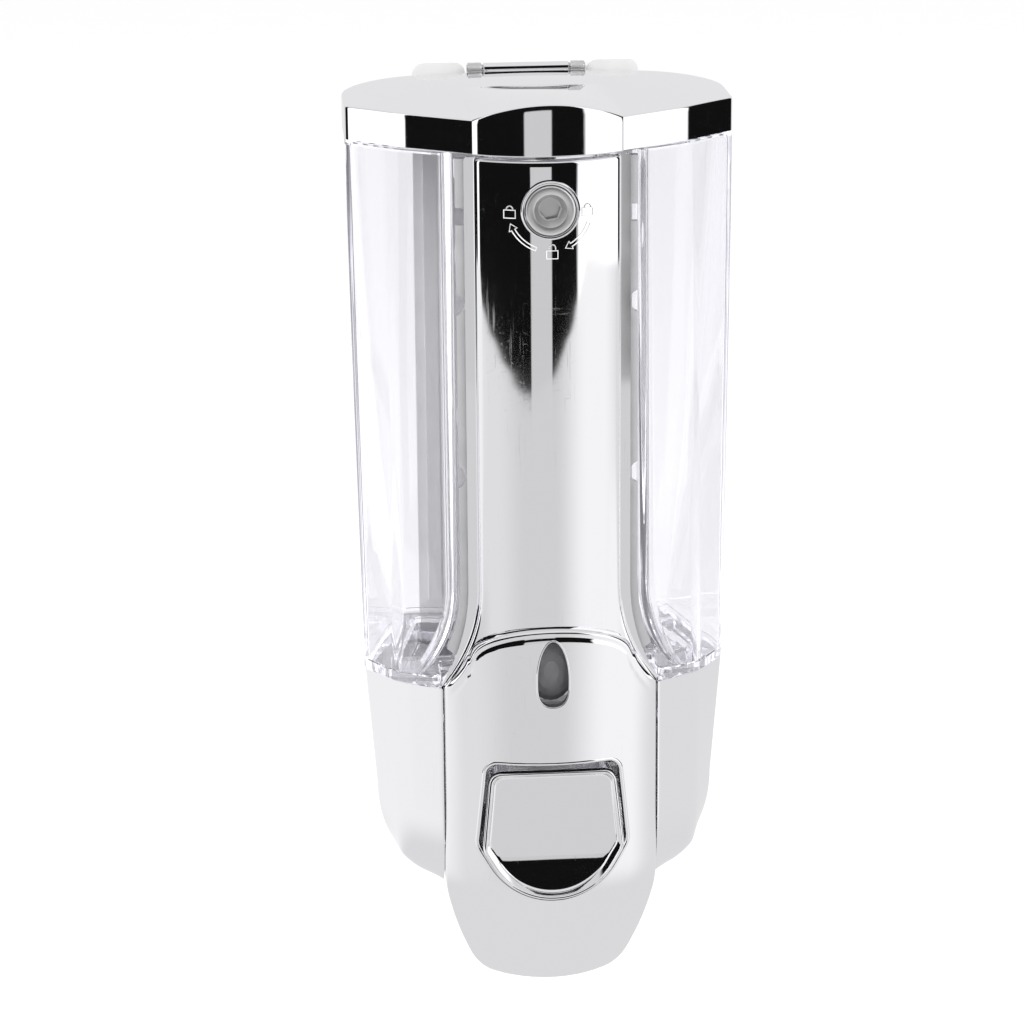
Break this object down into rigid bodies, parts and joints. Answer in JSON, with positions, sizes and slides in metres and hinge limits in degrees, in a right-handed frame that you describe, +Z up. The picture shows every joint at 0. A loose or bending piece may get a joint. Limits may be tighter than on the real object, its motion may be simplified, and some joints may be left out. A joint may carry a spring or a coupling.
{
  "type": "wall mounted soap dispenser",
  "caption": "Wall mounted liquid soap dispenser: clear tank on a wall plate, chromed front cover with a push button, hinged lid and a small key lock.",
  "frame": {"origin": "middle of the wall plate's back face, where it lies on the wall", "axes": "+Z up, +Y into the wall, the front faces -Y"},
  "size_m": [0.088, 0.0663, 0.2099],
  "materials": {
    "grey_wall_plate": "satin moulded ABS, light grey",
    "clear_tank": "clear polished styrene, glossy",
    "chrome_base_shell": "bright chrome plating on ABS, fine scratches",
    "chrome_front_cover": "bright chrome plating on ABS, fine scratches",
    "grey_spine": "satin moulded ABS, light grey",
    "chrome_lid": "bright chrome plating on ABS",
    "silicone_lid_seal": "translucent silicone",
    "steel_hinge_pin": "drawn stainless wire",
    "chrome_lock_bezel": "bright chrome plating",
    "steel_lock_nut": "zinc plated",
    "grey_lock_cylinder": "satin grey die casting",
    "steel_lock_cam": "stamped, zinc plated",
    "steel_lock_screw": "zinc plated",
    "chrome_button": "bright chrome plating on ABS",
    "white_piston": "white moulded polypropylene",
    "silicone_piston_ring": "silicone",
    "steel_spring": "drawn stainless wire",
    "white_pump_body": "white moulded polypropylene",
    "white_pump_cap": "white moulded polypropylene",
    "silicone_tank_seal": "silicone",
    "silicone_inlet_valve": "silicone",
    "silicone_outlet_valve": "silicone",
    "white_nozzle": "white moulded polypropylene",
    "clear_sight_lens": "clear polished acrylic",
    "steel_cover_screw": "zinc plated",
    "steel_shell_screw": "zinc plated",
    "steel_pump_screw": "zinc plated"
  },
  "bodies": {
    "housing": {"wall_plate": "grey_wall_plate", "tank": "clear_tank", "base_shell": "chrome_base_shell", "front_cover": "chrome_front_cover", "spine": "grey_spine", "hinge_pin": "steel_hinge_pin", "lock_bezel": "chrome_lock_bezel", "lock_nut": "steel_lock_nut", "pump_spring": "steel_spring", "pump_body": "white_pump_body", "pump_cap": "white_pump_cap", "tank_seal": "silicone_tank_seal", "inlet_valve": "silicone_inlet_valve", "outlet_valve": "silicone_outlet_valve", "nozzle": "white_nozzle", "sight_lens": "clear_sight_lens", "cover_screw_upper_left": "steel_cover_screw", "cover_screw_lower_left": "steel_cover_screw", "shell_screw_left": "steel_shell_screw", "pump_screw_left": "steel_pump_screw", "cover_screw_upper_right": "steel_cover_screw", "cover_screw_lower_right": "steel_cover_screw", "shell_screw_right": "steel_shell_screw", "pump_screw_right": "steel_pump_screw"},
    "lid": {"lid": "chrome_lid", "lid_seal": "silicone_lid_seal"},
    "lock": {"lock_cylinder": "grey_lock_cylinder", "lock_cam": "steel_lock_cam", "lock_screw": "steel_lock_screw"},
    "button": {"button": "chrome_button", "pump_piston": "white_piston", "piston_ring": "silicone_piston_ring"}
  },
  "joints": [
    {"name": "lid_hinge", "type": "hinge", "parent": "housing", "child": "lid", "pos_m": [0, -0.0035, 0.0697], "axis": [-1, 0, 0], "range_deg": [0, 88]},
    {"name": "lock_turn", "type": "hinge", "parent": "housing", "child": "lock", "pos_m": [0, -0.062, 0.0483], "axis": [0, 1, 0], "range_deg": [-90, 90]},
    {"name": "button_press", "type": "slide", "parent": "housing", "child": "button", "axis": [0, 1, 0], "range_m": [0, 0.008], "stiffness_N_per_m": 500, "springref_m": -0.004, "deforming": ["pump_spring"]}
  ]
}
